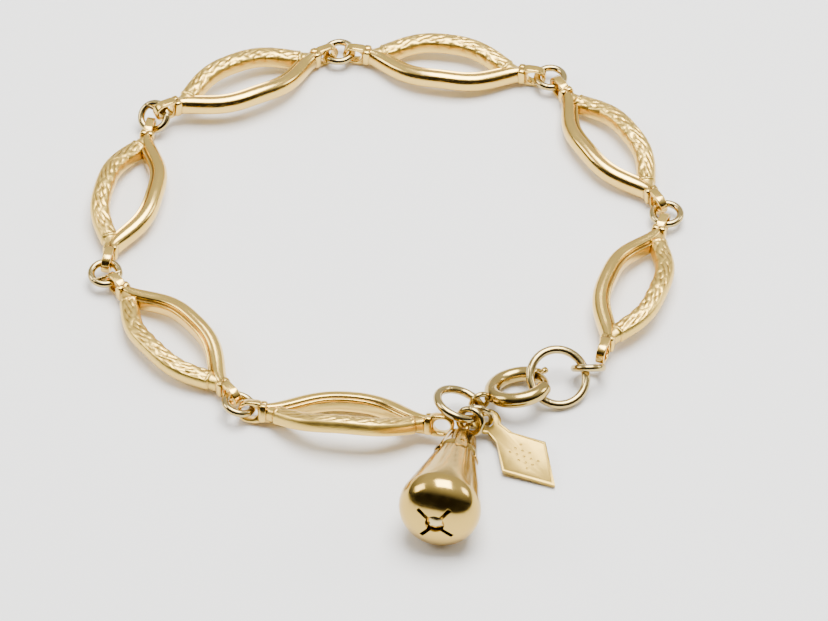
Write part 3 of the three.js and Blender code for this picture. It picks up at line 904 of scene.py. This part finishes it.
print("clasp bolt", len(bolt.data.vertices), "points")

# %% [markdown]
# ## Bell
# The real bell is spun from thin sheet: a full, flattened dome sawn with a cross of slots round a hole,
# and a fluted cone up to the neck. Solidify could thicken a skin into a wall, but the inside is smooth
# while the outside is fluted, so an inner body is cut out of an outer one. The dome is a half ellipsoid
# made squarer, and the flutes are counted from the side that faces the viewer.

# %% Bell shell
BELL_RADIUS = 4.45
BELL_WALL = 0.42
NECK_RADIUS = 2.45
CONE_LENGTH = 8.2
CAP_LENGTH = 4.4
DOME_DEPTH = 3.2
HOLE_RADIUS = 1.05
FLUTE_DEPTH = 0.09
CAP_LOOP_SIZE = (2.56, 0.66)
LOOP_TO_WIDEST = CAP_LOOP_SIZE[0] / 2 - 0.3 + CONE_LENGTH + CAP_LENGTH

bell_turn = turn_onto(BELL_PLACE[1])
front = bell_turn.T @ np.array([0, -0.66, 0.75])
FRONT_TURN = math.atan2(front[1], front[0])
BELL_SIDES = 144
around = np.linspace(0, 2 * np.pi, BELL_SIDES, endpoint=False)


def bell_profile(inset):
    """Radius and height from the dome's pole to the neck, drawn in by the inset.

    Dome: r = R sin(a)^0.85 and z = -D cos(a)^0.85. Cone: r = n + (R - n) (1 - s^1.1)^1.05 and z = L s.
    """
    lean = np.linspace(0.012, np.pi / 2, 40)
    dome_radius = (BELL_RADIUS - inset) * np.sin(lean) ** 0.85
    dome_height = -(DOME_DEPTH - inset) * np.clip(np.cos(lean), 0, 1) ** 0.85
    dome = np.stack([dome_radius, dome_height], -1)
    share = np.linspace(0, 1, 60)[1:]
    radius = NECK_RADIUS + (BELL_RADIUS - NECK_RADIUS) * (1 - share**1.1) ** 1.05 - inset
    cone = np.stack([radius, CONE_LENGTH * share - inset * (share == 1)], -1)
    return np.concatenate([dome, cone])


def turned_rings(profile, flutes):
    """The profile turned about Z, drawn in by leaf flutes and by a fine crease on each leaf.

    r = profile - f w (1 - |cos 4b|^0.35) - 0.45 f w exp(-(c / 0.09)^2), with b the angle from the front, w
    a soft start up the cone and c = |sin(4b + 1.1 (s - 0.4))| the way from a crease.
    """
    radius = np.repeat(profile[:, :1], BELL_SIDES, 1)
    height = profile[:, 1:] + 0 * radius
    share = np.clip(height / CONE_LENGTH, 0, 1)
    leaf = np.abs(np.cos(4 * (around - FRONT_TURN)))[None, :] ** 0.35
    window = ease(0.1, 0.45, share)
    radius = radius - flutes * window * (1 - leaf)
    crease = np.abs(np.sin(4 * (around - FRONT_TURN) + 1.1 * (share - 0.4)))
    radius = radius - 0.45 * flutes * window * np.exp(-((crease / 0.09) ** 2))
    return np.stack([radius * np.cos(around), radius * np.sin(around), height], -1)


bell = raw_object("bell_shell", loft(turned_rings(bell_profile(0), FLUTE_DEPTH)), [BELL])
hollow = raw_object("hollow", loft(turned_rings(bell_profile(BELL_WALL), 0)), [BELL])
bell = combine(bell, [hollow], "DIFFERENCE")
print("bell shell", len(bell.data.vertices), "points")

# %% Cross of slots and hole
CROSS_ANGLES = (25, -65)
ARM_LONG = 2.45
ARM_THIN = 0.22
CUT_HEIGHTS = (-4.4, -1.0)

arm_outline = [(-ARM_LONG, -ARM_THIN), (ARM_LONG, -ARM_THIN), (ARM_LONG, ARM_THIN), (-ARM_LONG, ARM_THIN)]
arm_points = np.array([(x, y, z) for z in CUT_HEIGHTS for x, y in arm_outline])
cutters = []
for angle in CROSS_ANGLES:
    turned = arm_points @ turn_about((0, 0, 1), math.radians(angle)).T
    cutters.append(raw_object("arm", loft(turned.reshape(2, 4, 3)), [BELL]))
hole_round = HOLE_RADIUS * np.stack([np.cos(around[::3]), np.sin(around[::3])], -1)
cutters.append(prism("hole", hole_round, *CUT_HEIGHTS, BELL))
bell = combine(bell, cutters, "DIFFERENCE")
bell = soften(bell, 0.05, 2, 50)
print("opened bell", len(bell.data.vertices), "points")

# %% [markdown]
# ## Bell cap
# A stamped cap with six square tabs grips the neck, closes to a small flat top and carries a wire loop.
# Six separate tabs could be modelled and joined, but one turned body whose radius and lower edge swing in
# and out six times has no joints to hide. A small punched dimple sits on the tab that faces the viewer.

# %% Bell cap and loop
CAP_SHARES = [0, 0.03, 0.06, 0.1, 0.2, 0.35, 0.5, 0.65, 0.75, 0.84, 0.9, 0.95, 0.98, 1.0]
CAP_TOP_RADIUS = 1.5
CAP_LOOP_TURN = math.radians(100.2)
DIMPLE_HALF = (0.26, 0.26, 0.26)
tab = ease(-0.3, 0.3, np.cos(6 * (around - FRONT_TURN)))


def cap_ring(share, first):
    """One ring of the cap at its share s of the height; the first one is tucked under the edge.

    r = lower + (top - lower) s - 0.5 e^1.5, with e easing in near the top, plus the swing of the tabs.
    z = neck + L s, less the scallop of the lower edge.
    """
    share = np.array(share)
    lower = NECK_RADIUS + (0.02 if first else 0.16)
    radius = lower + (CAP_TOP_RADIUS - lower) * share - 0.5 * ease(0.84, 1.0, share) ** 1.5
    radius = radius + (0 if first else 0.12 * (tab - 0.5) * (1 - ease(0, 0.5, share)))
    between = ease(0.05, 0.2, share) * (1 - ease(0.6, 0.9, share))
    radius = radius - 0.1 * (1 - tab) * between
    scallop = 0.42 * (2 * tab - 1) * (1 - ease(0, 0.6, share))
    height = CONE_LENGTH + CAP_LENGTH * share - scallop - (0.1 if first else 0)
    return np.stack([radius * np.cos(around), radius * np.sin(around), height], -1)


cap_rings = np.array([cap_ring(share, row == 0) for row, share in enumerate(CAP_SHARES)])
cap = raw_object("cap", loft(cap_rings), [BELL])
loop_points, loop_faces = loft(wire_rings(*CAP_LOOP_SIZE, 80, 20), joined=True)
loop_turn = turn_about((0, 0, 1), CAP_LOOP_TURN) @ turn_about((1, 0, 0), math.pi / 2)
loop_points = loop_points @ loop_turn.T + np.array([0, 0, LOOP_TO_WIDEST])
cap_loop = raw_object("cap loop", (loop_points, loop_faces), [BELL])
bell = combine(bell, [cap, cap_loop], "UNION")

dimple_at = (2.42 * math.cos(FRONT_TURN), 2.42 * math.sin(FRONT_TURN), CONE_LENGTH + 0.9)
dimple = raw_object("dimple", loft(knob_rings(dimple_at, DIMPLE_HALF, 1.0)), [BELL])
bell = combine(bell, [dimple], "DIFFERENCE")
bell_middle = np.array(BELL_PLACE[0]) + bell_turn @ np.array([0, 0, -LOOP_TO_WIDEST])
put(bell, bell_middle, bell_turn, 40)
dress(bell, "bell_charm")
print("bell", len(bell.data.vertices), "points")

# %% [markdown]
# ## Pea
# A loose brass ball makes the bell ring. It rests behind the hole, too big to fall out, and shows there as
# a bright spot. A plain sphere is all that it is, so only its height needs working out: where the hole's
# edge would stop it, with a little air between.

# %% Pea
PEA_RADIUS = 1.6
PEA_AIR = 0.19

pea = raw_object("bell_pea_ball", loft(knob_rings((0, 0, 0), (PEA_RADIUS,) * 3, 1.0, 32, 48)), [PEA])
pea_height = -DOME_DEPTH + BELL_WALL + math.sqrt(PEA_RADIUS**2 - HOLE_RADIUS**2) + PEA_AIR
put(pea, bell_middle + bell_turn @ np.array([0, 0, pea_height]), bell_turn)
dress(pea, "bell_pea")
print("pea at", round(pea_height, 2), "mm from the bell's widest ring")

# %% [markdown]
# ## Tag
# A small lozenge stamped from sheet, with a raised rim round a sunk field, a neck and a round loop. An
# outline drawn by hand could be extruded, but the field has to keep an even rim, so one formula gives the
# outline at any inset: at zero it cuts the plate, and drawn in by the rim's width it sinks the field.

# %% Tag plate
TAG_TIP = 11.35
LOZENGE_HALF = (5.1, 3.125)
NECK_HALF = 1.15
TAG_LOOP_RADIUS = 1.6
TAG_HOLE_RADIUS = 0.85
TAG_THICKNESS = 0.45
FIELD_HEIGHT = 0.35
RIM_WIDTH = 0.3


def tag_outline(inset):
    """Points of the lozenge, its neck and its round loop, drawn in by the inset."""
    tip = TAG_TIP - inset * 2
    middle = TAG_TIP - LOZENGE_HALF[0]
    half = LOZENGE_HALF[1] - inset
    neck = NECK_HALF - inset
    neck_at = middle - LOZENGE_HALF[0] * (1 - neck / half)
    radius = TAG_LOOP_RADIUS - inset
    join = math.asin(min(neck * 0.8 / radius, 1))
    arc = np.linspace(join, 2 * np.pi - join, 60)
    corners = [(tip, 0), (middle, half), (neck_at, neck)]
    corners += [(radius * math.cos(a), radius * math.sin(a)) for a in arc]
    corners += [(neck_at, -neck), (middle, -half)]
    return np.array(corners)


tag = prism("tag_plate", tag_outline(0), 0, TAG_THICKNESS, TAG_GOLD)
field = prism("field", tag_outline(RIM_WIDTH), FIELD_HEIGHT, 0.6, TAG_GOLD)
tag_hole_round = TAG_HOLE_RADIUS * np.stack([np.cos(around[::3]), np.sin(around[::3])], -1)
tag_hole = prism("tag hole", tag_hole_round, -0.5, 1.0, TAG_GOLD)
tag = combine(tag, [field, tag_hole], "DIFFERENCE")
tag = soften(tag, 0.05, 3, 30)
print("tag plate", len(tag.data.vertices), "points")

# %% [markdown]
# A punch leaves a small round pit. Thirteen of them stand as a lozenge in the middle of the field, each
# cut by a flat ball. Painted dots would have no depth in the mesh itself. The tag's faces are few and
# large, so its creases get no painted shade: it would fan out over them as dark patches.

# %% Punched dots
DOT_PITCH = 0.95
DOT_HALF = (0.15, 0.15, 0.1)
DOTS_MIDDLE = (6.25, 0.37)

dots = []
for i in range(-2, 3):
    for j in range(-2, 3):
        if abs(i) + abs(j) <= 2:
            x = DOTS_MIDDLE[0] + DOT_PITCH * (i + j) * 0.75
            y = DOT_PITCH * (i - j) * 0.42
            dot = loft(knob_rings((x, y, DOTS_MIDDLE[1]), DOT_HALF, 1.0, 12, 16))
            dots.append(raw_object("dot", dot, [TAG_GOLD]))
print("dots", len(dots))
tag = combine(tag, dots, "DIFFERENCE")
put(tag, TAG_PLACE[0], turn_link(*TAG_PLACE[1]), 35, hollow_steps=0)
dress(tag, "tag")
print("tag", len(tag.data.vertices), "points")

# %% [markdown]
# ## Surface
# The real bracelet lies on a pale seamless sheet. A modelled sweep would curve up behind it, but the view
# from above never reaches that far, so one large flat square does.

# %% Floor
FLOOR_REACH = 3

corners = [(-1, -1), (1, -1), (1, 1), (-1, 1)]
floor_mesh = bpy.data.meshes.new("floor")
floor_mesh.from_pydata([(FLOOR_REACH * x, FLOOR_REACH * y, 0) for x, y in corners], [], [(0, 1, 2, 3)])
floor = bpy.data.objects.new("floor", floor_mesh)
bpy.context.scene.collection.objects.link(floor)
floor_material = bpy.data.materials.new("pale seamless surface")
floor_material.use_nodes = True
floor_shader = floor_material.node_tree.nodes["Principled BSDF"]
floor_shader.inputs["Base Color"].default_value = (0.93, 0.93, 0.925, 1)
floor_shader.inputs["Roughness"].default_value = 0.6
floor_mesh.materials.append(floor_material)
print("floor", 2 * FLOOR_REACH, "m wide")

# %% [markdown]
# ## Light
# Polished gold shows mostly what surrounds it, so light for it is large and soft. A small lamp would give
# hard sparks and black gaps. One broad light hangs almost straight overhead and gives the short, soft
# shadows, and weaker ones at left and right draw a second edge of light along the bars.

# %% Lights


def soft_light(name, location, size, power, colour):
    """A square light whose face looks back at the origin.

    Its axes are z = location / |location|, x = Y x z and y = z x x, and the three Euler angles are read
    from the matrix that they form.
    """
    data = bpy.data.lights.new(name, "AREA")
    data.size = size
    data.energy = power
    data.color = colour
    lamp = bpy.data.objects.new(name, data)
    bpy.context.scene.collection.objects.link(lamp)
    lamp.location = location
    away = np.array(location) / np.linalg.norm(location)
    side = np.cross((0, 1, 0), away)
    side /= np.linalg.norm(side)
    top = np.cross(away, side)
    rotation = np.stack([side, top, away], 1)
    lamp.rotation_euler = (
        math.atan2(rotation[2, 1], rotation[2, 2]),
        -math.asin(rotation[2, 0]),
        math.atan2(rotation[1, 0], rotation[0, 0]),
    )
    print(name, "light,", size, "m wide,", power, "W")


soft_light("overhead", (0.05, 0.09, 0.47), 0.32, 6.0, (1.0, 0.99, 0.97))
soft_light("left", (-0.42, 0.05, 0.3), 0.22, 1.2, (1.0, 0.98, 0.95))
soft_light("right", (0.45, 0.1, 0.22), 0.15, 0.6, (1.0, 0.99, 0.98))

# %% [markdown]
# Where no light stands, the gold mirrors the room. An even grey room makes it flat, and a photographed room
# would add stray shapes, so the surround is a plain blend: pale above and behind, and nearly black towards
# the front, where the brown tones on the flanks come from.

# %% Surround
BRIGHT_SIDE = (0.15, 0.62, 0.77)
DIM = (0.02, 0.017, 0.014, 1)
PALE_ROOM = (0.95, 0.95, 0.96, 1)
ROOM_STRENGTH = 0.9

world = bpy.data.worlds.new("studio")
bpy.context.scene.world = world
world.use_nodes = True
world_nodes = world.node_tree.nodes
world_links = world.node_tree.links
surround = world_nodes["Background"]
direction = world_nodes.new("ShaderNodeTexCoord")
lean = world_nodes.new("ShaderNodeVectorMath")
lean.operation = "DOT_PRODUCT"
lean.inputs[1].default_value = BRIGHT_SIDE
ramp = world_nodes.new("ShaderNodeValToRGB")
ramp.color_ramp.elements[0].position = 0.12
ramp.color_ramp.elements[0].color = DIM
ramp.color_ramp.elements[1].position = 0.75
ramp.color_ramp.elements[1].color = PALE_ROOM
world_links.new(direction.outputs["Generated"], lean.inputs[0])
world_links.new(lean.outputs["Value"], ramp.inputs["Fac"])
world_links.new(ramp.outputs["Color"], surround.inputs["Color"])
surround.inputs["Strength"].default_value = ROOM_STRENGTH
print("surround of strength", ROOM_STRENGTH)
